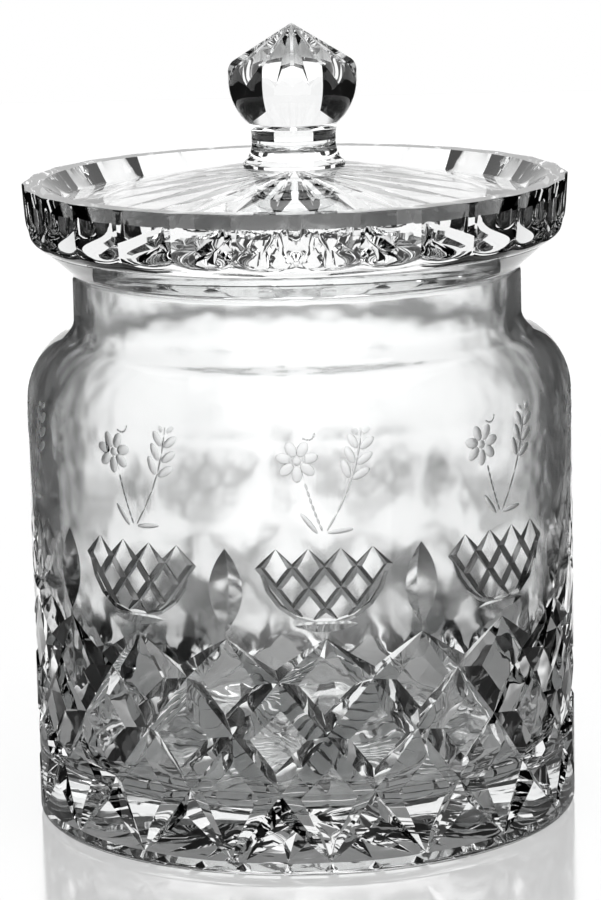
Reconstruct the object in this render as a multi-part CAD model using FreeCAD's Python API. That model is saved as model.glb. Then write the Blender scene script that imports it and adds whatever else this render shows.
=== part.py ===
import FreeCAD, Part
import math
import os

# Cut glass biscuit jar with a loose lid, in millimetres, standing on Z = 0 about the Z axis.

# Jar body
body_radius = 63.0
body_wall = 6.5
floor_thickness = 13.0
base_round = 1.8
foot_width = 7.0
foot_recess = 1.4
inside_corner_radius = 9.0
shoulder_height = 98.0
shoulder_radius = 16.0

# Neck and lip of the jar
shoulder_inset = 11.2
neck_radius = body_radius - shoulder_inset
neck_wall = 4.3
neck_fillet = 5.0
flare_height = 126.2
flare_fillet = 3.0
flare_angle = 49.0
lip_spread = 6.4
lip_radius = neck_radius + lip_spread
lip_polish = 0.6

# The cutting repeats this often round the jar, with two diamonds to each repeat
jar_repeats = 9

# Diamond band: V grooves that cross, with the heights of the crossings from the lowest points to the highest,
# and half the width of a groove measured level at a crossing
diamond_levels = [3.6, 18.2, 31.4, 44.0, 54.3]
diamond_depth = 2.7
diamond_half_width = 5.0
diamond_phase = 4.3

# Upright leaf cuts, one to each repeat
leaf_length = 18.6
leaf_width = 8.0
leaf_depth = 2.4
leaf_rise = 1.6

# Flat lens-shaped cut above each point between the leaf cuts
lens_length = 14.0
lens_width = 3.2
lens_depth = 1.0
lens_rise = 1.5

# Star cut under the base
base_star_per_repeat = 4
base_star_inner = 4.0
base_star_margin = 2.8
base_star_width = 5.0
base_star_depth = 1.5

# Lid dish
rim_overhang = 4.8
rim_radius = lip_radius + rim_overhang
rim_height = 14.5
rim_curve_radius = 9.0
ring_width = 5.2
dish_depth = 4.0
dish_slope_width = 4.9
plate_rise = 6.8
plate_thickness = 10.0
well_rise = 1.4
well_slope = 1.0
plug_depth = 3.8
plug_wall = 3.2
plug_clearance = 0.8
edge_polish = 0.4

# Flutes round the lid's rim
flute_count = 28
flute_radius = 24.0
flute_depth = 1.15
flute_lean = 5.0

# Star cut under the lid
lid_star_count = 24
lid_star_inner = 5.0
lid_star_margin = 1.2
lid_star_width = 4.6
lid_star_depth = 1.7

# Knob, with heights measured up from its foot
knob_height = 32.5
foot_radius = 11.7
foot_land = 0.7
stem_radius = 9.7
stem_low = 5.2
stem_high = 6.8
collar_radius = 10.6
collar_height = 10.1
bulb_radius = 14.7
bulb_low = 19.4
bulb_high = 21.6
crown_radius = 12.9
crown_height = 24.5

# Leaf cuts in the knob's crown
crown_cuts = 12
crown_cut_inner = 1.6
crown_cut_end = 19.5
crown_cut_half_angle = 52.0
crown_cut_depth = 2.6

# Working allowances: how far a chord may leave its arc, how far cutters stand proud of the glass, and how thick
# the layers are that are cut one repeat at a time
arc_error = 0.3
over_cut = 2.0
cut_layer = 4.0
star_layer = 2.5

# Places worked out from the sizes above
inner_radius = body_radius - body_wall
mouth_radius = neck_radius - neck_wall
foot_inner = body_radius - base_round - foot_width
base_star_outer = foot_inner - foot_recess - base_star_margin
plug_radius = mouth_radius - plug_clearance
well_radius = plug_radius - plug_wall
pitch = 180.0 / jar_repeats
jar_start = diamond_phase - 0.73 * pitch


def turn(angle):
    """Unit vector in plan at an angle in degrees, 0 facing the front."""
    a = math.radians(angle - 90.0)
    return FreeCAD.Vector(math.cos(a), math.sin(a), 0)


def at(radius, angle, height):
    spot = turn(angle) * radius
    spot.z = height
    return spot


def profile_point(r, z):
    return FreeCAD.Vector(r, 0, z)


def arc(centre, radius, start, end):
    """Arc between two angles in degrees as a run of chords that leave it by no more than arc_error."""
    step = 2.0 * math.degrees(math.acos(1.0 - arc_error / radius))
    count = max(2, math.ceil(abs(end - start) / step))
    spots = []
    for index in range(count + 1):
        a = math.radians(start + (end - start) * index / count)
        spots.append((centre[0] + radius * math.cos(a), centre[1] + radius * math.sin(a)))
    return spots


def ease(wall, end):
    """Arc that leaves an upright wall at one point and reaches another point."""
    across = end[0] - wall[0]
    up = end[1] - wall[1]
    radius = (across ** 2 + up ** 2) / (2.0 * abs(across))
    sweep = math.degrees(math.asin(up / radius))
    if across > 0:
        return arc((wall[0] + radius, wall[1]), radius, 180, 180 - sweep)
    return arc((wall[0] - radius, wall[1]), radius, 0, sweep)


def outline(*runs):
    """Closed outline from single points and runs of points, given in order round the section."""
    spots = []
    for run in runs:
        for spot in (run if isinstance(run, list) else [run]):
            if not spots or math.dist(spot, spots[-1]) > 1e-6:
                spots.append(spot)
    spots.append(spots[0])
    return Part.makePolygon([profile_point(*spot) for spot in spots])


def spin(wire, start=0.0, sweep=360.0):
    """Solid of revolution about Z of a closed outline in the profile plane."""
    origin = FreeCAD.Vector(0, 0, 0)
    axis = FreeCAD.Vector(0, 0, 1)
    face = Part.Face(wire)
    face.rotate(origin, axis, start)
    solid = face.revolve(origin, axis, sweep)
    if solid.Volume < 0:
        solid.reverse()
    return solid


def side_face(face, angles):
    """True for a flat face that lies in one of the upright planes through the Z axis at these angles."""
    if not isinstance(face.Surface, Part.Plane):
        return False
    middle = face.CenterOfMass
    for angle in angles:
        across = turn(angle + 90.0)
        if abs(middle.dot(across)) < 1e-5 and abs(abs(face.Surface.Axis.dot(across)) - 1.0) < 1e-7:
            return True
    return False


def cut_round(section, tools, count, start):
    """Turn the outline through one repeat, cut that wedge, and set its skin round the axis count times."""
    sweep = 360.0 / count
    wedge = spin(section, start - 90.0, sweep).cut(tools)
    skin = [f for f in wedge.Faces if not side_face(f, (start, start + sweep))]
    copies = []
    for index in range(count):
        for part in skin:
            copies.append(part.rotated(FreeCAD.Vector(0, 0, 0), FreeCAD.Vector(0, 0, 1), sweep * index))
    shell = Part.Compound(copies)
    shell.sewShape()
    return Part.Solid(shell.Shells[0]).removeSplitter()


def double_bend(low, low_radius, high_r, high_radius):
    """Two tangent arcs from a vertical wall at low to a narrower vertical wall at radius high_r."""
    low_centre = (low[0] - low_radius, low[1])
    across = high_r + high_radius - low_centre[0]
    up = math.sqrt((low_radius + high_radius) ** 2 - across ** 2)
    high_centre = (high_r + high_radius, low[1] + up)
    lean = math.degrees(math.atan2(up, across))
    return arc(low_centre, low_radius, 0, lean) + arc(high_centre, high_radius, 180 + lean, 180)


def faceted(corners, faces):
    """Solid with flat faces, each a list of places in the list of corners."""
    shell = [Part.Face(Part.makePolygon([corners[i] for i in face + face[:1]])) for face in faces]
    return Part.Solid(Part.Shell(shell))


def vee_section(angle, height, depth):
    """Corners of the level section of a V groove in the jar's wall: its sharp edge, then its mouth."""
    side = turn(angle + 90.0) * (diamond_half_width * (depth + over_cut) / diamond_depth)
    mouth = at(body_radius + over_cut, angle, height)
    return [at(body_radius - depth, angle, height), mouth + side, mouth - side]


def slanting_groove(low, high):
    """V groove between two level sections, so that grooves that meet at a crossing share its section."""
    return faceted(low + high, [[0, 2, 1], [3, 4, 5], [0, 1, 4], [0, 4, 3], [1, 2, 5], [1, 5, 4], [2, 0, 3], [2, 3, 5]])


def mitre_cut(ends, edge, side, deep, over):
    """Pyramid whose point is the deepest place of a cut that is pointed at both ends and widest halfway."""
    corners = [deep + (spot - deep) * over for spot in (ends[0], edge + side, ends[1], edge - side)]
    return faceted(corners + [deep], [[0, 1, 2, 3], [4, 1, 0], [4, 2, 1], [4, 3, 2], [4, 0, 3]])


def wheel_cut(spot, outward, along, length, width, depth, surface_curve):
    """Cutting wheel with a V edge, sunk into a surface at spot to leave a pointed leaf."""
    flat_curve = 8.0 * depth / (length ** 2 + 4.0 * depth ** 2)
    radius = 1.0 / (flat_curve - surface_curve)
    half = radius * width / (2.0 * depth)
    wheel = spin(outline((0, -half), (radius, 0), (0, half)))
    turned = FreeCAD.Rotation(FreeCAD.Vector(0, 0, 1), along.cross(outward))
    wheel.Placement = FreeCAD.Placement(spot + outward * (radius - depth), turned)
    return wheel


def lattice_grooves():
    """V grooves of the diamond band, which slant half a repeat either way and run out at both ends."""
    last = len(diamond_levels) - 1
    depths = [0.0] + [diamond_depth] * (last - 1) + [0.0]
    tools = []
    for level in range(last):
        for index in range(-2, 3):
            angle = diamond_phase + pitch * (index + 0.5 * (level % 2))
            low = vee_section(angle, diamond_levels[level], depths[level])
            for lean in (-0.5, 0.5):
                high = vee_section(angle + lean * pitch, diamond_levels[level + 1], depths[level + 1])
                tools.append(slanting_groove(low, high))
    return tools


def leaf_cut():
    """Upright leaf that stands on every second point of the diamond band."""
    angle = diamond_phase + pitch
    spot = at(body_radius, angle, diamond_levels[-1] + leaf_rise + leaf_length / 2.0)
    up = FreeCAD.Vector(0, 0, 1)
    return wheel_cut(spot, turn(angle), up, leaf_length, leaf_width, leaf_depth, 0.0)


def lens_cut():
    """Flat lens above each point of the diamond band that carries no leaf."""
    spot = at(body_radius, diamond_phase, diamond_levels[-1] + lens_rise + lens_width / 2.0)
    along = turn(diamond_phase + 90.0)
    return wheel_cut(spot, turn(diamond_phase), along, lens_length, lens_width, lens_depth, 1.0 / body_radius)


def star_cuts(angles, inner, outer, width, depth, height_at):
    """Mitre cuts that radiate under a plate."""
    middle = (inner + outer) / 2.0
    tools = []
    for angle in angles:
        ends = [at(r, angle, height_at(r)) for r in (inner, outer)]
        edge = at(middle, angle, height_at(middle))
        side = turn(angle + 90.0) * (width / 2.0)
        deep = edge + FreeCAD.Vector(0, 0, depth)
        tools.append(mitre_cut(ends, edge, side, deep, 1.0 + over_cut / depth))
    return tools


def around(count, start, total):
    """Angles of the count cuts of one repeat that starts at start, and of one more on each side."""
    return [start + total * (index + 0.5) / count for index in range(-1, count + 1)]


def jar_cut_layer():
    """Section of the outer layer of the base and lower wall, which carries all the jar's cutting."""
    base_centre = (body_radius - base_round, base_round)
    return outline(
        (0, foot_recess),
        (foot_inner - foot_recess, foot_recess),
        (foot_inner, 0),
        arc(base_centre, base_round, -90, 0),
        (body_radius, cut_top),
        (body_radius - cut_layer, cut_top),
        (body_radius - cut_layer, foot_recess + star_layer),
        (0, foot_recess + star_layer))


def jar_plain_outline():
    """Section of the rest of the jar, from the middle of the floor up the outside and back inside."""
    flare_centre = (neck_radius + flare_fillet, flare_height)
    corner = (inner_radius - inside_corner_radius, floor_thickness + inside_corner_radius)
    inner_bend = double_bend((inner_radius, shoulder_height), shoulder_radius - body_wall / 2.0,
                             mouth_radius, neck_fillet + neck_wall)
    return outline(
        (0, foot_recess + star_layer),
        (body_radius - cut_layer, foot_recess + star_layer),
        (body_radius - cut_layer, cut_top),
        (body_radius, cut_top),
        double_bend((body_radius, shoulder_height), shoulder_radius, neck_radius, neck_fillet),
        arc(flare_centre, flare_fillet, 180, 180 - flare_angle),
        (lip_radius, lip_height),
        (mouth_radius + lip_polish, lip_height),
        (mouth_radius, lip_height - lip_polish),
        inner_bend[::-1],
        arc(corner, inside_corner_radius, 0, -90),
        (0, floor_thickness))


def lip_top():
    """Height at which the flare reaches the lip's radius."""
    slope = math.radians(flare_angle)
    bend_r = neck_radius + flare_fillet * (1.0 - math.cos(slope))
    bend_z = flare_height + flare_fillet * math.sin(slope)
    return bend_z + (lip_radius - bend_r) / math.tan(slope)


cut_top = diamond_levels[-1] + leaf_rise + leaf_length + over_cut
lip_height = lip_top()
ring_height = lip_height + rim_height
dish_height = ring_height - dish_depth
plate_height = dish_height + plate_rise
ring_inner = rim_radius - ring_width
dish_radius = ring_inner - dish_slope_width
well_top = plate_height - plate_thickness
well_edge = lip_height + well_rise
well_inner = well_radius - well_slope
bulb_foot = plate_height + bulb_low


def jar_body():
    tools = lattice_grooves() + [leaf_cut(), lens_cut()]
    tools += star_cuts(around(base_star_per_repeat, jar_start, 2.0 * pitch), base_star_inner, base_star_outer,
                       base_star_width, base_star_depth, lambda r: foot_recess)
    layer = cut_round(jar_cut_layer(), tools, jar_repeats, jar_start)
    return layer.fuse(spin(jar_plain_outline())).removeSplitter()


def lid_rim_outline():
    """Section of the fluted rim, outside the lip's radius."""
    sweep = math.degrees(math.acos(1.0 - (rim_radius - lip_radius) / rim_curve_radius))
    curve_top = lip_height + rim_curve_radius * math.sin(math.radians(sweep))
    return outline(
        arc((rim_radius - rim_curve_radius, curve_top), rim_curve_radius, -sweep, 0),
        (rim_radius, ring_height - edge_polish),
        (rim_radius - edge_polish, ring_height),
        (lip_radius, ring_height))


def lid_star_outline():
    """Section of the layer under the plate that carries the star."""
    return outline((0, well_top), (well_inner, well_edge), (well_inner, well_top + star_layer),
                   (0, well_top + star_layer))


def lid_plain_outline():
    """Section of the rest of the lid, from under the middle past the locating ring and back over the top."""
    plug_bottom = lip_height - plug_depth
    return outline(
        (0, well_top + star_layer),
        (well_inner, well_top + star_layer),
        (well_inner, well_edge),
        (well_radius, plug_bottom),
        (plug_radius - edge_polish, plug_bottom),
        (plug_radius, plug_bottom + edge_polish),
        (plug_radius, lip_height),
        (lip_radius, lip_height),
        (lip_radius, ring_height),
        (ring_inner, ring_height),
        (dish_radius, dish_height),
        (foot_radius + foot_land, plate_height),
        (0, plate_height))


def rim_flutes():
    """Leaning round-nosed cuts that scallop the lid's rim."""
    tools = []
    for angle in around(1, 0.0, 360.0 / flute_count):
        flute = Part.makeCylinder(flute_radius, 3.0 * rim_height, FreeCAD.Vector(0, 0, -2.0 * rim_height))
        lean = FreeCAD.Rotation(turn(angle + 90.0), flute_lean)
        flute.Placement = FreeCAD.Placement(at(rim_radius + flute_radius - flute_depth, angle, ring_height), lean)
        tools.append(flute)
    return tools


def lid_dish():
    slope = (well_edge - well_top) / well_inner
    rim = cut_round(lid_rim_outline(), rim_flutes(), flute_count, 0.0)
    mitres = star_cuts(around(1, 0.0, 360.0 / lid_star_count), lid_star_inner, well_inner - lid_star_margin,
                       lid_star_width, lid_star_depth, lambda r: well_top + slope * r)
    star = cut_round(lid_star_outline(), mitres, lid_star_count, 0.0)
    return spin(lid_plain_outline()).fuse([rim, star]).removeSplitter()


def knob_plain_outline():
    """Section of the knob below its crown: flared foot, waisted stem, collar and the swell of the bulb."""
    z = plate_height
    return outline(
        (0, z),
        (foot_radius, z),
        ease((stem_radius, z + stem_low), (foot_radius, z + foot_land))[::-1],
        ease((stem_radius, z + stem_high), (collar_radius, z + collar_height)),
        ease((bulb_radius, bulb_foot), (collar_radius, z + collar_height))[::-1],
        (0, bulb_foot))


def crown_outline():
    """Section of the pointed crown."""
    z = plate_height
    return outline(
        (0, bulb_foot),
        (bulb_radius, bulb_foot),
        ease((bulb_radius, z + bulb_high), (crown_radius, z + crown_height)),
        (0, z + knob_height))


def crown_groove(angle):
    """V groove that runs straight down the crown, deepest where the crown meets the bulb."""
    rise = (knob_height - crown_height) / crown_radius
    top = at(crown_cut_inner, angle, plate_height + knob_height - rise * crown_cut_inner)
    low = at(bulb_radius, angle, plate_height + crown_cut_end)
    along = (low - top).normalize() * over_cut
    outward = (turn(angle) + FreeCAD.Vector(0, 0, 1)) * (crown_cut_depth + over_cut)
    side = turn(angle + 90.0) * (outward.Length * math.tan(math.radians(crown_cut_half_angle)))
    start = top - along
    section = [start, start + outward + side, start + outward - side, start]
    return Part.Face(Part.makePolygon(section)).extrude(low + along - start)


def lid_knob():
    tools = [crown_groove(angle) for angle in around(1, 0.0, 360.0 / crown_cuts)]
    crown = cut_round(crown_outline(), tools, crown_cuts, 0.0)
    return crown.fuse(spin(knob_plain_outline())).removeSplitter()


os.makedirs("parts", exist_ok=True)
for name, make in (("lid_knob", lid_knob), ("lid_dish", lid_dish), ("jar_body", jar_body)):
    shape = make()
    print(name, "solids", len(shape.Solids), "volume", round(shape.Volume), "valid", shape.isValid())
    shape.exportStep("parts/" + name + ".step")
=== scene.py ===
import math

import bmesh
import bpy
from mathutils import Matrix, Vector


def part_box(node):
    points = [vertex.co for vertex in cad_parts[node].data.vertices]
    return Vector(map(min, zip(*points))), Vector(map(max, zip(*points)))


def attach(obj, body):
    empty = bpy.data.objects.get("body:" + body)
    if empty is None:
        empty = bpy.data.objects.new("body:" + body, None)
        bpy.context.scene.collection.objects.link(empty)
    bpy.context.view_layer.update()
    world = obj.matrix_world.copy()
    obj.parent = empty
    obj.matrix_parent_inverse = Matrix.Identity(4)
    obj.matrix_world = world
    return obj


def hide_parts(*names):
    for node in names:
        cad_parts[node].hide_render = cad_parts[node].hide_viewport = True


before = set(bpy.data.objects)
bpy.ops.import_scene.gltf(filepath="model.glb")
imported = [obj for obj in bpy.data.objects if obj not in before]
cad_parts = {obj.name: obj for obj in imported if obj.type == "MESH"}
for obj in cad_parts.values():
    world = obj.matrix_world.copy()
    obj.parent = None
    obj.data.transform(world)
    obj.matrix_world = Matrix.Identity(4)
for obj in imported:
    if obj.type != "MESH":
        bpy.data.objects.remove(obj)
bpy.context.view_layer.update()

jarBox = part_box("jar_body")
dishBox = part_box("lid_dish")
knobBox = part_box("lid_knob")

# Sizes are in millimetres and degrees, unless a note says otherwise.
mm = 0.001
arcSteps = 14
samePlace = 1e-5
weldReach = 1e-6  # in metres
creaseAngle = 20.0
overCut = 2.0  # how far a cutting tool stands out of the glass
wheelSides = 128
white = (1.0, 1.0, 1.0, 1.0)


# Section curves

def arcRun(centre, radius, start, end, steps=arcSteps):
    spots = []
    for index in range(steps + 1):
        a = math.radians(start + (end - start) * index / steps)
        spots.append((centre[0] + radius * math.cos(a), centre[1] + radius * math.sin(a)))
    return spots


def doubleBend(low, lowRadius, highR, highRadius):
    # two arcs that lead from an upright wall in to a narrower upright wall
    lowCentre = (low[0] - lowRadius, low[1])
    across = highR + highRadius - lowCentre[0]
    up = math.sqrt((lowRadius + highRadius) ** 2 - across ** 2)
    highCentre = (highR + highRadius, low[1] + up)
    lean = math.degrees(math.atan2(up, across))
    return arcRun(lowCentre, lowRadius, 0, lean) + arcRun(highCentre, highRadius, 180 + lean, 180)


def ease(wall, end, steps=arcSteps):
    # arc that leaves an upright wall at one point and reaches another
    across = end[0] - wall[0]
    up = end[1] - wall[1]
    radius = (across ** 2 + up ** 2) / (2 * abs(across))
    sweep = math.degrees(math.asin(up / radius))
    if across > 0:
        return arcRun((wall[0] + radius, wall[1]), radius, 180, 180 - sweep, steps)
    return arcRun((wall[0] - radius, wall[1]), radius, 0, sweep, steps)


def joined(*runs):
    # one section from points and runs of points, without doubled points
    spots = []
    for run in runs:
        for spot in (run if isinstance(run, list) else [run]):
            if not spots or math.dist(spot, spots[-1]) > samePlace:
                spots.append(spot)
    return spots


# Nodes

class Value:
    # wraps a socket, so that node maths reads as an expression
    def __init__(self, tree, socket):
        self.tree = tree
        self.socket = socket

    def node(self, kind, settings=None, inputs=None, output=0):
        made = self.tree.nodes.new(kind)
        for key, value in (settings or {}).items():
            setattr(made, key, value)
        for key, value in (inputs or {}).items():
            target = made.inputs[key]
            if isinstance(value, Value):
                self.tree.links.new(value.socket, target)
            else:
                target.default_value = value
        return Value(self.tree, made.outputs[output]) if made.outputs else made

    def output(self, key):
        return Value(self.tree, self.socket.node.outputs[key])

    def maths(self, operation, *others, first=None):
        inputs = {0: self if first is None else first}
        for slot, other in enumerate(others):
            inputs[slot + 1] = other
        return self.node("ShaderNodeMath", {"operation": operation}, inputs)

    def __add__(self, other):
        return self.maths("ADD", other)

    def __mul__(self, other):
        return self.maths("MULTIPLY", other)

    def __rsub__(self, other):
        return self.maths("SUBTRACT", self, first=other)

    def __truediv__(self, other):
        return self.maths("DIVIDE", other)


def startTree(holder):
    holder.use_nodes = True
    tree = holder.node_tree
    tree.nodes.clear()
    return Value(tree, None)


def ringCutTree():
    # cuts one tool out of a turned piece at even steps round the axis
    tree = bpy.data.node_groups.new("ringCut", "GeometryNodeTree")
    tree.is_modifier = True
    face = tree.interface
    face.new_socket("Geometry", in_out="INPUT", socket_type="NodeSocketGeometry")
    face.new_socket("Cutter", in_out="INPUT", socket_type="NodeSocketObject")
    face.new_socket("Count", in_out="INPUT", socket_type="NodeSocketInt")
    face.new_socket("Polish", in_out="INPUT", socket_type="NodeSocketMaterial")
    face.new_socket("Geometry", in_out="OUTPUT", socket_type="NodeSocketGeometry")
    v = Value(tree, None)
    piece = v.node("NodeGroupInput")
    count = piece.output("Count")
    finish = piece.output("Polish")
    spots = v.node("GeometryNodeMeshLine", {"mode": "OFFSET"}, {"Count": count, "Offset": (0, 0, 0)})
    angle = v.node("GeometryNodeInputIndex") / count * (2 * math.pi)
    spin = v.node("ShaderNodeCombineXYZ", inputs={"Z": angle})
    tool = v.node("GeometryNodeObjectInfo", {"transform_space": "ORIGINAL"},
                  {"Object": piece.output("Cutter"), "As Instance": False}, "Geometry")
    ring = v.node("GeometryNodeInstanceOnPoints", inputs={
        "Points": spots, "Instance": tool, "Rotation": spin})
    cut = v.node("GeometryNodeMeshBoolean", {"operation": "DIFFERENCE", "solver": "MANIFOLD"},
                 {"Mesh 1": piece.output("Geometry"), "Mesh 2": ring})
    real = v.node("GeometryNodeRealizeInstances", inputs={"Geometry": cut})
    polished = v.node("GeometryNodeMaterialSelection", inputs={"Material": finish})
    done = v.node("GeometryNodeSetMaterial", inputs={
        "Geometry": real, "Selection": polished, "Material": finish})
    v.node("NodeGroupOutput", inputs={"Geometry": done})
    return tree


# Finishes

polishedGlass = {
    "tint": (0.985, 0.99, 0.99, 1.0), "ior": 1.545, "rough": 0.0, "roughSpread": 0.01, "ripple": 0.05,
    "rippleScale": 45.0, "grain": 0.0, "grainScale": 400.0, "shadowPass": 0.85, "zone": (0.0, 1.0, 0.0),
}
blownGlass = {
    "tint": (0.985, 0.99, 0.99, 1.0), "ior": 1.545, "rough": 0.02, "roughSpread": 0.02, "ripple": 0.6,
    "rippleScale": 70.0, "grain": 0.0, "grainScale": 400.0, "shadowPass": 0.85, "zone": (0.05, 0.062, 0.15),
}
mattGlass = {
    "tint": (0.96, 0.965, 0.965, 1.0), "ior": 1.545, "rough": 0.3, "roughSpread": 0.2, "ripple": 0.0,
    "rippleScale": 60.0, "grain": 0.05, "grainScale": 1800.0, "shadowPass": 0.8, "zone": (0.0, 1.0, 0.0),
}
shadowTint = (0.93, 0.94, 0.94, 1.0)


def glassFinish(name, settings):
    # zone is the height in metres where extra roughness starts and is full, and how much it is
    material = bpy.data.materials.new(name)
    v = startTree(material)
    place = v.node("ShaderNodeTexCoord", output=3)
    ripple = v.node("ShaderNodeTexNoise", inputs={
        "Vector": place, "Scale": settings["rippleScale"], "Detail": 2.0})
    grain = v.node("ShaderNodeTexNoise", inputs={
        "Vector": place, "Scale": settings["grainScale"], "Detail": 4.0})
    height = ripple * settings["ripple"] + grain * settings["grain"]
    bump = v.node("ShaderNodeBump", inputs={"Height": height, "Strength": 1.0, "Distance": mm})
    up = v.node("ShaderNodeSeparateXYZ", inputs={0: place}, output=2)
    low, high, more = settings["zone"]
    zone = v.node("ShaderNodeMapRange", inputs={
        "Value": up, "From Min": low, "From Max": high, "To Min": 0.0, "To Max": more})
    rough = grain * settings["roughSpread"] + settings["rough"] + zone
    glass = v.node("ShaderNodeBsdfPrincipled", inputs={
        "Base Color": settings["tint"], "Roughness": rough, "IOR": settings["ior"],
        "Transmission Weight": 1.0, "Normal": bump})
    clear = v.node("ShaderNodeBsdfTransparent", inputs={"Color": shadowTint})
    shadow = v.node("ShaderNodeLightPath", output=1)
    mixed = v.node("ShaderNodeMixShader", inputs={0: shadow * settings["shadowPass"], 1: glass, 2: clear})
    v.node("ShaderNodeOutputMaterial", inputs={0: mixed})
    return material


polish = glassFinish("polishedGlass", polishedGlass)
blown = glassFinish("blownGlass", blownGlass)
matt = glassFinish("mattEngraving", mattGlass)
ringCut = ringCutTree()
print("finishes ready")


# Meshes

def meshObject(name, points, faces, finish):
    mesh = bpy.data.meshes.new(name)
    mesh.from_pydata([Vector(p) * mm for p in points], [], faces)
    mesh.materials.append(finish)
    made = bmesh.new()
    made.from_mesh(mesh)
    bmesh.ops.recalc_face_normals(made, faces=made.faces)
    made.to_mesh(mesh)
    made.free()
    thing = bpy.data.objects.new(name, mesh)
    bpy.context.scene.collection.objects.link(thing)
    return thing


def turned(name, section, segments):
    # closed skin of a section that starts and ends on the axis
    points = [(0, 0, section[0][1])]
    inner = section[1:-1]
    for r, z in inner:
        for step in range(segments):
            a = 2 * math.pi * step / segments
            points.append((r * math.cos(a), r * math.sin(a), z))
    points.append((0, 0, section[-1][1]))
    last = len(points) - 1
    top = 1 + (len(inner) - 1) * segments
    faces = []
    for step in range(segments):
        after = (step + 1) % segments
        faces.append((0, 1 + step, 1 + after))
        faces.append((last, top + after, top + step))
        for row in range(len(inner) - 1):
            low = 1 + row * segments
            faces.append((low + step, low + segments + step, low + segments + after, low + after))
    return meshObject(name, points, faces, polish)


def outward(angle):
    # 0 degrees faces the front, and the angle grows to the right
    a = math.radians(angle - 90)
    return Vector((math.cos(a), math.sin(a), 0))


def at(radius, angle, height):
    return outward(angle) * radius + Vector((0, 0, height))


def cutRound(piece, tools):
    # tools is a list of (cutter, how many round the axis)
    ids = {item.name: item.identifier for item in ringCut.interface.items_tree if item.in_out == "INPUT"}
    for cutter, count in tools:
        step = piece.modifiers.new(cutter.name, "NODES")
        step.node_group = ringCut
        step[ids["Cutter"]] = cutter
        step[ids["Count"]] = count
        step[ids["Polish"]] = polish
    evaluated = piece.evaluated_get(bpy.context.evaluated_depsgraph_get())
    mesh = bpy.data.meshes.new_from_object(evaluated)
    piece.modifiers.clear()
    mesh.name = piece.data.name
    piece.data = mesh
    for tool in tools:
        bpy.data.objects.remove(tool[0])


def smoothed(piece):
    # welds what the cuts left doubled and keeps the cut edges sharp
    mesh = piece.data
    made = bmesh.new()
    made.from_mesh(mesh)
    bmesh.ops.remove_doubles(made, verts=made.verts, dist=weldReach)
    bmesh.ops.dissolve_degenerate(made, edges=made.edges, dist=weldReach)
    made.to_mesh(mesh)
    made.free()
    mesh.shade_smooth()
    mesh.set_sharp_from_angle(angle=math.radians(creaseAngle))


# Cutting tools

def grooveSection(cut, angle, height, depth):
    # level section of a V groove in the wall: its sharp edge, then its mouth
    side = outward(angle + 90) * (cut["halfWidth"] * (depth + overCut) / cut["depth"])
    mouth = at(jar["radius"] + overCut, angle, height)
    return [at(jar["radius"] - depth, angle, height), mouth + side, mouth - side]


def slantingGroove(name, low, high):
    faces = [(0, 2, 1), (3, 4, 5), (0, 1, 4), (0, 4, 3), (1, 2, 5), (1, 5, 4), (2, 0, 3), (2, 3, 5)]
    return meshObject(name, low + high, faces, polish)


def veeGroove(name, start, end, facing, depth, halfAngle, run):
    # straight V groove whose sharp edge passes both ends by run
    along = (end - start).normalized()
    square = (facing - along * facing.dot(along)).normalized()
    side = along.cross(square)
    height = depth + overCut
    half = height * math.tan(math.radians(halfAngle))
    points = []
    for spot in (start - along * run, end + along * run):
        points += [spot, spot + square * height + side * half, spot + square * height - side * half]
    faces = [(0, 1, 2), (3, 5, 4), (0, 3, 4, 1), (1, 4, 5, 2), (2, 5, 3, 0)]
    return meshObject(name, points, faces, polish)


def wheelCut(name, cut, spot, facing, along, curve):
    # V-edged cutting wheel sunk into a surface, which leaves a pointed leaf
    radius = 1 / (8 * cut["depth"] / (cut["length"] ** 2 + 4 * cut["depth"] ** 2) - curve)
    half = radius * cut["width"] / (2 * cut["depth"])
    axis = along.cross(facing)
    centre = spot + facing * (radius - cut["depth"])
    points = [centre - axis * half, centre + axis * half]
    for step in range(wheelSides):
        a = 2 * math.pi * step / wheelSides
        points.append(centre + (along * math.cos(a) + facing * math.sin(a)) * radius)
    faces = []
    for step in range(wheelSides):
        here = 2 + step
        after = 2 + (step + 1) % wheelSides
        faces += [(0, here, after), (1, after, here)]
    return meshObject(name, points, faces, polish)


def starTool(name, star, outer, heightAt):
    # pyramid whose point is the deepest place of a mitre cut
    angle = 180 / star["points"]
    middle = (star["inner"] + outer) / 2
    edge = at(middle, angle, heightAt(middle))
    side = outward(angle + 90) * (star["width"] / 2)
    deep = edge + Vector((0, 0, star["depth"]))
    ends = [at(r, angle, heightAt(r)) for r in (star["inner"], outer)]
    base = [ends[0], edge + side, ends[1], edge - side]
    corners = [deep + (spot - deep) * (1 + overCut / star["depth"]) for spot in base]
    faces = [(0, 1, 2, 3), (4, 1, 0), (4, 2, 1), (4, 3, 2), (4, 0, 3)]
    return (meshObject(name, corners + [deep], faces, polish), star["points"])


# Jar

jar = {
    "radius": jarBox[1][1] / mm, "lipHeight": jarBox[1][2] / mm, "wall": 6.5, "floor": 13.0,
    "baseRound": 1.8, "footWidth": 7.0, "footRecess": 1.4, "insideCorner": 9.0, "shoulderHeight": 98.0,
    "shoulderRound": 16.0, "neck": 51.8, "neckWall": 4.3, "neckFillet": 5.0, "flareHeight": 126.2,
    "flareFillet": 3.0, "flareAngle": 49.0, "lip": 58.2, "lipPolish": 0.6, "smallArcSteps": 8,
    "repeats": 9, "phase": 4.3, "segments": 432,
}


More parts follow.
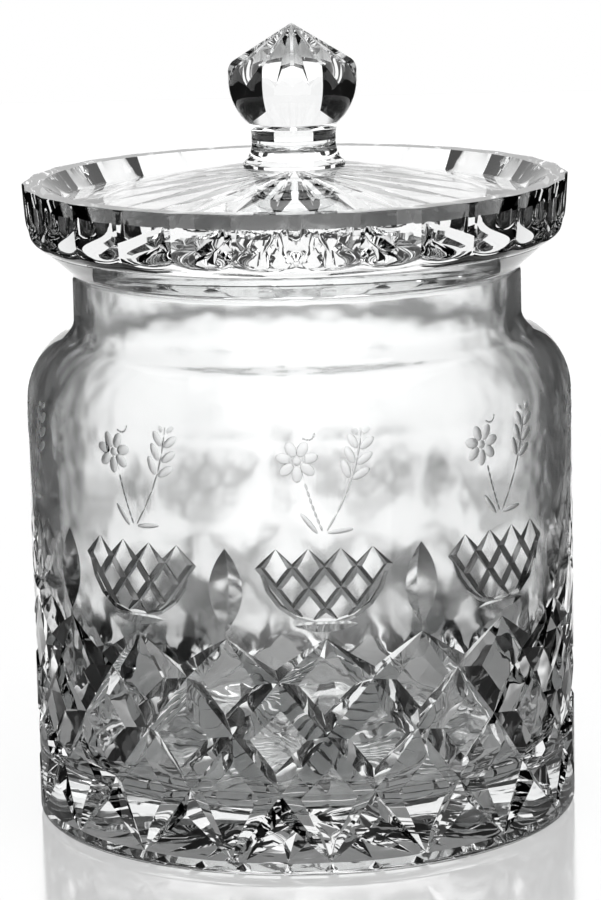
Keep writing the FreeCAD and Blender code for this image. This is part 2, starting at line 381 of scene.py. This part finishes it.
def jarSection():
    radius = jar["radius"]
    recess = jar["footRecess"]
    footInner = radius - jar["baseRound"] - jar["footWidth"]
    inner = radius - jar["wall"]
    mouth = jar["neck"] - jar["neckWall"]
    lip = jar["lipHeight"]
    steps = jar["smallArcSteps"]
    baseCentre = (radius - jar["baseRound"], jar["baseRound"])
    flareCentre = (jar["neck"] + jar["flareFillet"], jar["flareHeight"])
    cornerCentre = (inner - jar["insideCorner"], jar["floor"] + jar["insideCorner"])
    inside = doubleBend((inner, jar["shoulderHeight"]), jar["shoulderRound"] - jar["wall"] / 2, mouth,
                        jar["neckFillet"] + jar["neckWall"])
    return joined(
        (0, recess), (footInner - recess, recess), (footInner, 0),
        arcRun(baseCentre, jar["baseRound"], -90, 0, steps),
        doubleBend((radius, jar["shoulderHeight"]), jar["shoulderRound"], jar["neck"], jar["neckFillet"]),
        arcRun(flareCentre, jar["flareFillet"], 180, 180 - jar["flareAngle"], steps),
        (jar["lip"], lip), (mouth + jar["lipPolish"], lip), (mouth, lip - jar["lipPolish"]),
        inside[::-1], arcRun(cornerCentre, jar["insideCorner"], 0, -90), (0, jar["floor"]))


diamonds = {"levels": [3.6, 18.2, 31.4, 44.0, 54.3], "depth": 2.7, "halfWidth": 5.0}


def diamondTools():
    # grooves that cross round the wall and leave four rows of diamonds
    pitch = 180 / jar["repeats"]
    levels = diamonds["levels"]
    last = len(levels) - 1
    depths = [0] + [diamonds["depth"]] * (last - 1) + [0]
    tools = []
    for level in range(last):
        angle = jar["phase"] + pitch * 0.5 * (level % 2)
        low = grooveSection(diamonds, angle, levels[level], depths[level])
        for lean in (-0.5, 0.5):
            high = grooveSection(diamonds, angle + lean * pitch, levels[level + 1], depths[level + 1])
            name = "diamond%d%s" % (level, "left" if lean < 0 else "right")
            tools.append((slantingGroove(name, low, high), 2 * jar["repeats"]))
    return tools


# rows are heights, and columns and bowl count half pitches sideways from the cup's middle
cup = {
    "pitch": 7.1, "rows": [74.6, 70.2, 65.6, 61.0, 57.6], "depth": 0.85, "halfWidth": 1.15,
    "columns": [(-3, -1, 1, 3), (-4, -2, 0, 2, 4), (-3, -1, 1, 3), (-2, 0, 2), (-1, 1)],
    "bowl": [(-3.7, 71.6), (-3.8, 68.6), (-3.5, 65.2), (-2.8, 61.8), (-1.8, 59.3), (-0.6, 58.1)],
    "bowlDepth": 0.6, "bowlAngle": 45.0, "bowlRun": 0.1,
}


def cupStep():
    return math.degrees(cup["pitch"] / jar["radius"]) / 2


def cupTools():
    # fine grooves that cross on each cup
    last = len(cup["rows"]) - 1
    depths = [0] + [cup["depth"]] * (last - 1) + [0]

    def section(row, column):
        return grooveSection(cup, jar["phase"] + column * cupStep(), cup["rows"][row], depths[row])

    tools = []
    for row in range(last):
        for column in cup["columns"][row]:
            for lean in (-1, 1):
                if column + lean in cup["columns"][row + 1]:
                    name = "cup%d_%d_%d" % (row, column, lean)
                    groove = slantingGroove(name, section(row + 1, column + lean), section(row, column))
                    tools.append((groove, jar["repeats"]))
    return tools


def bowlTools():
    # the cup's round side and bottom, cut as a run of short grooves
    spots = cup["bowl"] + [(-column, height) for column, height in reversed(cup["bowl"])]
    depths = [0] + [cup["bowlDepth"]] * (len(spots) - 2) + [0]
    ends = []
    for (column, height), depth in zip(spots, depths):
        ends.append(at(jar["radius"] - depth, jar["phase"] + column * cupStep(), height))
    tools = []
    for index in range(len(ends) - 1):
        middle = (ends[index] + ends[index + 1]) / 2
        facing = Vector((middle.x, middle.y, 0))
        groove = veeGroove("bowl%d" % index, ends[index], ends[index + 1], facing, cup["depth"],
                           cup["bowlAngle"], cup["bowlRun"])
        tools.append((groove, jar["repeats"]))
    return tools


leaf = {"length": 18.6, "width": 8.0, "depth": 2.4, "rise": 1.6}
lens = {"length": 14.0, "width": 3.2, "depth": 1.0, "rise": 1.5}


def leafAndLensTools():
    top = diamonds["levels"][-1]
    angle = jar["phase"] + 180 / jar["repeats"]
    spot = at(jar["radius"], angle, top + leaf["rise"] + leaf["length"] / 2)
    upright = wheelCut("uprightLeaf", leaf, spot, outward(angle), Vector((0, 0, 1)), 0)
    spot = at(jar["radius"], jar["phase"], top + lens["rise"] + lens["width"] / 2)
    flat = wheelCut("flatLens", lens, spot, outward(jar["phase"]), outward(jar["phase"] + 90),
                    1 / jar["radius"])
    return [(upright, jar["repeats"]), (flat, jar["repeats"])]


# Places on the unrolled wall are (sideways from the sprig's middle, height), and sizes are half lengths and
# half widths. The lean of a leaf is counted from level.
sprig = {
    "repeats": 9, "phase": 4.3, "root": 77.8, "depth": 0.3, "stem": 0.26, "stemSteps": 7, "stemReach": 0.49,
    "flower": (-5.6, 94.0), "petals": 7, "petalRing": 2.9, "petal": (1.85, 1.2), "petalTurn": 0.25,
    "eye": 0.95, "flowerRoot": (-0.3, 0.6), "flowerBow": 0.5, "flowerGap": 0.4,
    "sprayTip": (8.6, 107.5), "sprayBend": (9.6, 92.0), "sprayRoot": (0.5, 0.5),
    "leafPairs": 6, "leaflet": (2.25, 0.95), "leafletLean": 40.0, "leafletGap": 0.55, "leafletTaper": 0.06,
    "firstPair": 0.4, "pairSpan": 0.55, "tipPlace": (-0.3, 2.3), "tipLeaf": 1.8, "tipLean": 100.0,
    "bud": (-1.2, 103.6), "budBend": (-1.6, 97.5), "budSize": (1.7, 0.85), "budRoot": 1.2,
    "budNeck": (-0.3, -2.2), "budLean": 75.0,
    "baseLeaves": [((3.6, 78.3), 6.0), ((-3.2, 80.2), 128.0)], "baseLeaf": (3.0, 0.6),
    "stoneRings": 6, "stoneSides": 14,
}


def pebble(centre, along, across, facing, sizes):
    # corners and faces of an egg-shaped stone that leaves a shallow petal or leaf
    rings = sprig["stoneRings"]
    sides = sprig["stoneSides"]
    points = [centre - along * sizes[0]]
    for ring in range(1, rings):
        b = math.pi * ring / rings
        for step in range(sides):
            a = 2 * math.pi * step / sides
            side = across * math.cos(a) * sizes[1] + facing * math.sin(a) * sizes[2]
            points.append(centre - along * math.cos(b) * sizes[0] + side * math.sin(b))
    points.append(centre + along * sizes[0])
    last = len(points) - 1
    top = 1 + (rings - 2) * sides
    faces = []
    for step in range(sides):
        after = (step + 1) % sides
        faces += [(0, 1 + step, 1 + after), (last, top + after, top + step)]
        for ring in range(rings - 2):
            low = 1 + ring * sides
            faces.append((low + step, low + sides + step, low + sides + after, low + after))
    return points, faces


def engraved(spots):
    # spots lists (place on the unrolled wall, half length, half width, lean)
    points = []
    faces = []
    for (across, height), half, width, lean in spots:
        angle = sprig["phase"] + math.degrees(across / jar["radius"])
        facing = outward(angle)
        right = outward(angle + 90)
        turnBy = math.radians(lean)
        along = right * math.cos(turnBy) + Vector((0, 0, math.sin(turnBy)))
        first = len(points)
        sizes = (half, width, min(sprig["depth"], width))
        stone = pebble(at(jar["radius"], angle, height), along, along.cross(facing), facing, sizes)
        points += stone[0]
        faces += [tuple(first + corner for corner in face) for face in stone[1]]
    return meshObject("engraving", points, faces, matt)


def curvePoint(a, b, c, t):
    # point and slope of a bent line from a to c that leans towards b
    x = (1 - t) ** 2 * a[0] + 2 * t * (1 - t) * b[0] + t * t * c[0]
    y = (1 - t) ** 2 * a[1] + 2 * t * (1 - t) * b[1] + t * t * c[1]
    dx = 2 * (1 - t) * (b[0] - a[0]) + 2 * t * (c[0] - b[0])
    dy = 2 * (1 - t) * (b[1] - a[1]) + 2 * t * (c[1] - b[1])
    return (x, y), math.degrees(math.atan2(dy, dx))


def moved(place, shift):
    return (place[0] + shift[0], place[1] + shift[1])


def reached(place, distance, lean):
    a = math.radians(lean)
    return (place[0] + distance * math.cos(a), place[1] + distance * math.sin(a))


def stemSpots(a, b, c):
    spots = []
    steps = sprig["stemSteps"]
    for step in range(steps):
        start = curvePoint(a, b, c, step / steps)[0]
        end = curvePoint(a, b, c, (step + 1) / steps)[0]
        middle, lean = curvePoint(a, b, c, (step + 0.5) / steps)
        spots.append((middle, math.dist(start, end) * sprig["stemReach"], sprig["stem"], lean))
    return spots


def stemsOfSprig():
    # stems of the flower, of the leafy spray and of the bud
    root = (0, sprig["root"])
    flower = sprig["flower"]
    gap = sprig["petalRing"] + sprig["petal"][0] + sprig["flowerGap"]
    way = math.degrees(math.atan2(flower[1] - root[1], flower[0] - root[0]))
    foot = reached(flower, -gap, way)
    half = ((root[0] + foot[0]) / 2 - sprig["flowerBow"], (root[1] + foot[1]) / 2)
    spots = stemSpots(moved(root, sprig["flowerRoot"]), half, foot)
    spots += stemSpots(moved(root, sprig["sprayRoot"]), sprig["sprayBend"], sprig["sprayTip"])
    spots += stemSpots(moved(flower, (sprig["budRoot"], gap)), sprig["budBend"],
                       moved(sprig["bud"], sprig["budNeck"]))
    return spots


def flowerSpots():
    spots = []
    for petal in range(sprig["petals"]):
        lean = 360 * (petal + sprig["petalTurn"]) / sprig["petals"]
        spots.append((reached(sprig["flower"], sprig["petalRing"], lean), *sprig["petal"], lean))
    spots.append((sprig["flower"], sprig["eye"], sprig["eye"], 0))
    return spots


def leafSpots():
    # pairs of leaves along the spray, and the leaf at its tip
    root = (0, sprig["root"])
    tip = sprig["sprayTip"]
    width = sprig["leaflet"][1]
    spots = []
    for pair in range(sprig["leafPairs"]):
        along = sprig["firstPair"] + sprig["pairSpan"] * pair / (sprig["leafPairs"] - 1)
        place, lean = curvePoint(root, sprig["sprayBend"], tip, along)
        size = sprig["leaflet"][0] * (1 - sprig["leafletTaper"] * pair)
        for side in (-1, 1):
            tilt = lean + side * sprig["leafletLean"]
            spots.append((reached(place, size + sprig["leafletGap"], tilt), size, width, tilt))
    spots.append((moved(tip, sprig["tipPlace"]), sprig["tipLeaf"], width, sprig["tipLean"]))
    return spots


def sprigTool():
    spots = stemsOfSprig() + flowerSpots() + leafSpots()
    spots.append((sprig["bud"], *sprig["budSize"], sprig["budLean"]))
    for place, lean in sprig["baseLeaves"]:
        spots.append((place, *sprig["baseLeaf"], lean))
    return (engraved(spots), sprig["repeats"])


# The inside was never cut or polished, so it keeps the soft waves of the blowing.
blowing = {"wallMargin": 0.2, "floorMargin": 1.0, "floorSlack": 0.2, "facing": 0.2, "nearAxis": 0.1}


def blowInside(piece):
    mesh = piece.data
    mesh.materials.append(blown)
    index = len(mesh.materials) - 1
    widest = jar["radius"] - jar["wall"] + blowing["wallMargin"]
    for face in mesh.polygons:
        centre = face.center / mm
        radius = math.hypot(centre.x, centre.y)
        outwardness = face.normal.x * centre.x + face.normal.y * centre.y
        inward = -outwardness / max(radius, blowing["nearAxis"])
        onFloor = centre.z < jar["floor"] + blowing["floorMargin"]
        inRoom = centre.z > jar["floor"] - blowing["floorSlack"] and radius < widest
        if inRoom and (inward > blowing["facing"] or onFloor):
            face.material_index = index


baseStar = {"points": 36, "inner": 4.0, "outer": 50.0, "width": 5.0, "depth": 1.5}


def makeJar():
    piece = turned("jarGlass", jarSection(), jar["segments"])
    tools = diamondTools() + cupTools() + bowlTools() + leafAndLensTools()
    tools.append(starTool("baseStar", baseStar, baseStar["outer"], lambda r: jar["footRecess"]))
    tools.append(sprigTool())
    cutRound(piece, tools)
    smoothed(piece)
    blowInside(piece)
    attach(piece, "jar")
    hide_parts("jar_body")
    print("jar glass:", len(piece.data.polygons), "faces")


# Lid

lid = {
    "rim": dishBox[1][0] / mm, "rimHeight": 14.5, "rimCurve": 9.0, "ringWidth": 5.2, "dishDepth": 4.0,
    "dishSlope": 4.9, "plate": dishBox[1][2] / mm, "thickness": 10.0, "wellRise": 1.4, "wellSlope": 1.0,
    "plugDepth": 3.8, "plugWall": 3.2, "clearance": 0.8, "polish": 0.4, "seatGap": 0.1, "segments": 448,
}
# Heights are counted from the top of the lid's plate, apart from the knob's top.
knob = {
    "top": knobBox[1][2] / mm, "foot": 11.7, "footLand": 0.7, "footSpread": 0.7, "footLift": 0.05,
    "stem": 9.7, "stemLow": 5.2, "stemHigh": 6.8, "collar": 10.6, "collarHeight": 10.1,
    "bulb": knobBox[1][0] / mm, "bulbLow": 19.4, "bulbHigh": 21.6, "bulbSteps": 24, "crown": 12.9,
    "crownHeight": 24.5, "cuts": 12, "cutInner": 1.6, "cutEnd": 19.5, "cutHalfAngle": 52.0, "cutDepth": 2.6,
}


def undersideSection():
    # from the axis out over the well and the locating ring to the seat
    lip = jar["lipHeight"]
    plugRadius = jar["neck"] - jar["neckWall"] - lid["clearance"]
    wellRadius = plugRadius - lid["plugWall"]
    plugBottom = lip - lid["plugDepth"]
    return [
        (0, lid["plate"] - lid["thickness"]), (wellRadius - lid["wellSlope"], lip + lid["wellRise"]),
        (wellRadius, plugBottom), (plugRadius - lid["polish"], plugBottom),
        (plugRadius, plugBottom + lid["polish"]), (plugRadius, lip + lid["seatGap"])]


def knobSection():
    # from the foot on the plate up to the tip
    z = lid["plate"]
    foot = (knob["foot"], z + knob["footLand"])
    collar = (knob["collar"], z + knob["collarHeight"])
    crown = (knob["crown"], z + knob["crownHeight"])
    return joined(
        (knob["foot"] + knob["footSpread"], z), (knob["foot"], z + knob["footLift"]),
        ease((knob["stem"], z + knob["stemLow"]), foot)[::-1],
        ease((knob["stem"], z + knob["stemHigh"]), collar),
        ease((knob["bulb"], z + knob["bulbLow"]), collar, knob["bulbSteps"])[::-1],
        ease((knob["bulb"], z + knob["bulbHigh"]), crown),
        (0, knob["top"]))


def lidSection():
    rim = lid["rim"]
    ring = jar["lipHeight"] + lid["rimHeight"]
    inner = rim - lid["ringWidth"]
    sweep = math.degrees(math.acos(1 - (rim - jar["lip"]) / lid["rimCurve"]))
    curveTop = jar["lipHeight"] + lid["rimCurve"] * math.sin(math.radians(sweep))
    curve = arcRun((rim - lid["rimCurve"], curveTop), lid["rimCurve"], -sweep, 0)
    curve[0] = (curve[0][0], jar["lipHeight"] + lid["seatGap"])
    return joined(
        undersideSection(), curve, (rim, ring - lid["polish"]), (rim - lid["polish"], ring), (inner, ring),
        (inner - lid["dishSlope"], ring - lid["dishDepth"]), knobSection())


flutes = {"count": 28, "radius": 24.0, "depth": 1.15, "lean": 5.0, "soft": 0.4}


def fluteRim(piece):
    # broad hollows round the rim, with ridges worn soft by the polishing
    step = 2 * math.pi / flutes["count"]
    ring = jar["lipHeight"] + lid["rimHeight"]
    lean = math.tan(math.radians(flutes["lean"]))
    soft = flutes["soft"]
    for vertex in piece.data.vertices:
        x, y, z = vertex.co / mm
        r = math.hypot(x, y)
        if r < jar["lip"] or z < jar["lipHeight"]:
            continue
        across = r * (math.atan2(y, x) % step - step / 2)
        hollow = flutes["radius"] - math.sqrt(flutes["radius"] ** 2 - across ** 2)
        reach = lid["rim"] - flutes["depth"] + hollow - (ring - z) * lean
        cut = r - soft * math.log(1 + math.exp((r - reach) / soft))
        vertex.co.x *= cut / r
        vertex.co.y *= cut / r


def crownTool():
    # V groove from the knob's tip over its shoulder
    z = lid["plate"]
    rise = (knob["top"] - z - knob["crownHeight"]) / knob["crown"]
    half = 180 / knob["cuts"]
    top = at(knob["cutInner"], half, knob["top"] - rise * knob["cutInner"])
    low = at(knob["bulb"], half, z + knob["cutEnd"])
    facing = outward(half) + Vector((0, 0, 1))
    return (veeGroove("crownCut", top, low, facing, knob["cutDepth"], knob["cutHalfAngle"], overCut),
            knob["cuts"])


lidStar = {"points": 24, "inner": 5.0, "margin": 1.2, "width": 4.6, "depth": 1.7}


def makeLid():
    section = lidSection()
    piece = turned("lidGlass", section, lid["segments"])
    wellTop = section[0][1]
    wellR, wellEdge = section[1]
    slope = (wellEdge - wellTop) / wellR
    fluteRim(piece)
    star = starTool("lidStar", lidStar, wellR - lidStar["margin"], lambda r: wellTop + slope * r)
    cutRound(piece, [crownTool(), star])
    smoothed(piece)
    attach(piece, "lid")
    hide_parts("lid_dish", "lid_knob")
    print("lid glass:", len(piece.data.polygons), "faces")


# Studio

# tableEdge and backdropFrom, and the lamp's place, aim and size, are in metres
studio = {
    "floorSize": 1500.0, "floorDrop": 0.3, "floorShade": 0.5, "floorGlow": 0.7, "floorMirror": 0.45,
    "floorRough": 0.12, "tableEdge": 0.14, "backdropFrom": 0.21, "backdropGlow": 0.86,
    "cardAcross": 170.0, "cardFront": -260.0, "cardBack": 480.0, "cardTop": 330.0, "cardShade": 0.012,
    "glassLight": 1.0, "brightTo": 0.45, "darkFrom": 0.6, "dark": 0.02, "topFrom": 0.7, "topTo": 0.9,
    "topLight": 0.5, "fill": 0.8,
    "lampPower": 3.0, "lampSize": 0.8, "lampPlace": (0.2, -0.3, 1.2), "lampAim": (0, 0, 0.1),
}


def makeFloor():
    # pale table with a soft mirror, which the glass sees run out into a lit backdrop
    material = bpy.data.materials.new("paleFloor")
    v = startTree(material)
    seen = v.node("ShaderNodeLightPath", output=0)
    shade = studio["floorShade"]
    base = v.node("ShaderNodeBsdfDiffuse", inputs={"Color": (shade, shade, shade, 1.0)})
    place = v.node("ShaderNodeTexCoord", output=3)
    reach = v.node("ShaderNodeVectorMath", {"operation": "LENGTH"}, {0: place}, 1)
    far = v.node("ShaderNodeMapRange", inputs={
        "Value": reach, "From Min": studio["tableEdge"], "From Max": studio["backdropFrom"], "To Min": 0.0,
        "To Max": studio["backdropGlow"]})
    strength = seen * studio["floorGlow"] + (1 - seen) * far
    glow = v.node("ShaderNodeEmission", inputs={"Color": white, "Strength": strength})
    lit = v.node("ShaderNodeAddShader", inputs={0: base, 1: glow})
    gloss = v.node("ShaderNodeBsdfAnisotropic", inputs={"Color": white, "Roughness": studio["floorRough"]})
    both = v.node("ShaderNodeMixShader", inputs={0: seen * studio["floorMirror"], 1: lit, 2: gloss})
    v.node("ShaderNodeOutputMaterial", inputs={0: both})
    size = studio["floorSize"]
    z = -studio["floorDrop"]
    corners = [(-size, -size, z), (size, -size, z), (size, size, z), (-size, size, z)]
    meshObject("floor", corners, [(0, 1, 2, 3)], material)


def makeCards():
    # black cards beside the glass, out of the picture, which give it dark edges
    material = bpy.data.materials.new("blackCard")
    v = startTree(material)
    dark = studio["cardShade"]
    paper = v.node("ShaderNodeBsdfDiffuse", inputs={"Color": (dark, dark, dark, 1.0)})
    v.node("ShaderNodeOutputMaterial", inputs={0: paper})
    front = studio["cardFront"]
    back = studio["cardBack"]
    top = studio["cardTop"]
    for name, side in (("cardLeft", -1), ("cardRight", 1)):
        x = side * studio["cardAcross"]
        corners = [(x, front, 0), (x, back, 0), (x, back, top), (x, front, top)]
        card = meshObject(name, corners, [(0, 1, 2, 3)], material)
        card.visible_camera = False
        card.visible_shadow = False


def makeWorld():
    # white to the camera, and a light tent with dark sides to the glass
    world = bpy.data.worlds.new("studio")
    bpy.context.scene.world = world
    v = startTree(world)
    way = v.node("ShaderNodeTexCoord", output=0)
    split = v.node("ShaderNodeSeparateXYZ", inputs={0: way})
    across = split.maths("ABSOLUTE")
    up = split.output(2)
    side = v.node("ShaderNodeMapRange", inputs={
        "Value": across, "From Min": studio["brightTo"], "From Max": studio["darkFrom"],
        "To Min": studio["glassLight"], "To Max": studio["dark"]})
    top = v.node("ShaderNodeMapRange", inputs={
        "Value": up, "From Min": studio["topFrom"], "From Max": studio["topTo"], "To Min": 0.0,
        "To Max": studio["topLight"]})
    pattern = side.maths("MAXIMUM", top)
    path = v.node("ShaderNodeLightPath")
    glossy = path.output(3)
    through = path.output(6)
    glass = glossy.maths("MAXIMUM", through)
    strength = path + (1 - path) * (glass * pattern + (1 - glass) * studio["fill"])
    shade = v.node("ShaderNodeBackground", inputs={"Color": white, "Strength": strength})
    v.node("ShaderNodeOutputWorld", inputs={0: shade})


def makeLamp():
    data = bpy.data.lights.new("softTop", "AREA")
    data.energy = studio["lampPower"]
    data.size = studio["lampSize"]
    lamp = bpy.data.objects.new("softTop", data)
    lamp.location = studio["lampPlace"]
    lamp.rotation_euler = (Vector(studio["lampAim"]) - lamp.location).to_track_quat("-Z", "Y").to_euler()
    bpy.context.scene.collection.objects.link(lamp)


# Camera

camera = {
    "distance": 900.0, "elevation": 11.5, "roll": 1.25, "aimHeight": 83.7, "lens": 154.8, "sensor": 36.0,
    "nearest": 10.0,
}


def makeCamera():
    e = math.radians(camera["elevation"])
    r = math.radians(camera["roll"])
    right = Vector((1, 0, 0))
    up = Vector((0, math.sin(e), math.cos(e)))
    forward = Vector((0, math.cos(e), -math.sin(e)))
    x = right * math.cos(r) - up * math.sin(r)
    y = right * math.sin(r) + up * math.cos(r)
    place = (Vector((0, 0, camera["aimHeight"])) - forward * camera["distance"]) * mm
    data = bpy.data.cameras.new("camera")
    data.lens = camera["lens"]
    data.sensor_fit = "VERTICAL"
    data.sensor_height = camera["sensor"]
    data.clip_start = camera["nearest"] * mm
    view = bpy.data.objects.new("camera", data)
    view.matrix_world = Matrix((
        (x.x, y.x, -forward.x, place.x), (x.y, y.y, -forward.y, place.y), (x.z, y.z, -forward.z, place.z),
        (0, 0, 0, 1)))
    bpy.context.scene.collection.objects.link(view)
    bpy.context.scene.camera = view


makeCamera()
makeJar()
makeLid()
makeFloor()
makeCards()
makeWorld()
makeLamp()
bpy.context.scene.view_settings.view_transform = "Standard"
print("studio ready")
